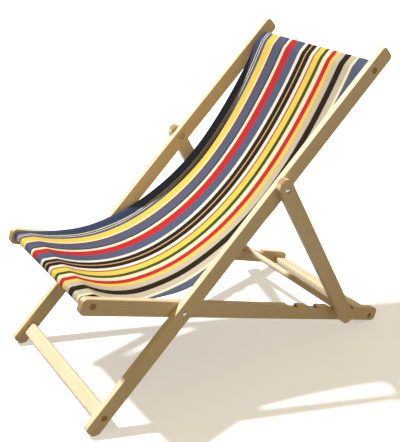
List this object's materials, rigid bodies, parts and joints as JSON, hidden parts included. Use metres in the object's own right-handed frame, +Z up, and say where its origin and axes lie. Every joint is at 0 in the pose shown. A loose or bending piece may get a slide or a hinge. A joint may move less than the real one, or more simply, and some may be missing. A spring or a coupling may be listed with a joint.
{
  "type": "folding deck chair",
  "caption": "Folding wooden deck chair with a striped canvas sling, hinged back, seat and strut frames, and a notched reclining catch.",
  "frame": {"origin": "centre of the chair's footprint box on the floor, in the middle of its width", "axes": "+X to the sitter's left, +Y to the rear (the sitter faces -Y), +Z up"},
  "size_m": [0.5806, 1.0498, 0.903],
  "materials": {
    "wood": "clear satin varnish",
    "canvas": "striped cotton canvas, matte",
    "steel": "dulled zinc plate"
  },
  "bodies": {
    "back_frame": {"back_rail_left": "wood", "back_rail_right": "wood", "top_bar": "wood", "foot_bar": "wood", "canvas_back": "canvas", "pivot_bolt_left": "steel", "pivot_bolt_right": "steel", "pivot_washer_left": "steel", "pivot_washer_right": "steel", "pivot_spacer_left": "steel", "pivot_spacer_right": "steel", "pivot_nut_left": "steel", "pivot_nut_right": "steel", "strut_bolt_left": "steel", "strut_bolt_right": "steel", "strut_washer_left": "steel", "strut_washer_right": "steel", "strut_spacer_left": "steel", "strut_spacer_right": "steel", "strut_nut_left": "steel", "strut_nut_right": "steel"},
    "seat_frame": {"seat_rail_left": "wood", "seat_rail_right": "wood", "front_bar": "wood", "rear_bar": "wood", "canvas_seat": "canvas"},
    "strut_frame": {"strut_left": "wood", "strut_right": "wood", "strut_bar": "wood"}
  },
  "joints": [
    {"name": "seat_fold", "type": "hinge", "parent": "back_frame", "child": "seat_frame", "pos_m": [0, -0.2242, 0.2776], "axis": [1, 0, 0], "range_deg": [0, 60]},
    {"name": "strut_fold", "type": "hinge", "parent": "back_frame", "child": "strut_frame", "pos_m": [0, 0.08852, 0.56718], "axis": [1, 0, 0], "range_deg": [0, 275.2]}
  ],
  "couplings": [
    {"joint": "strut_fold", "follows": "seat_fold", "ratio": 4.585}
  ]
}
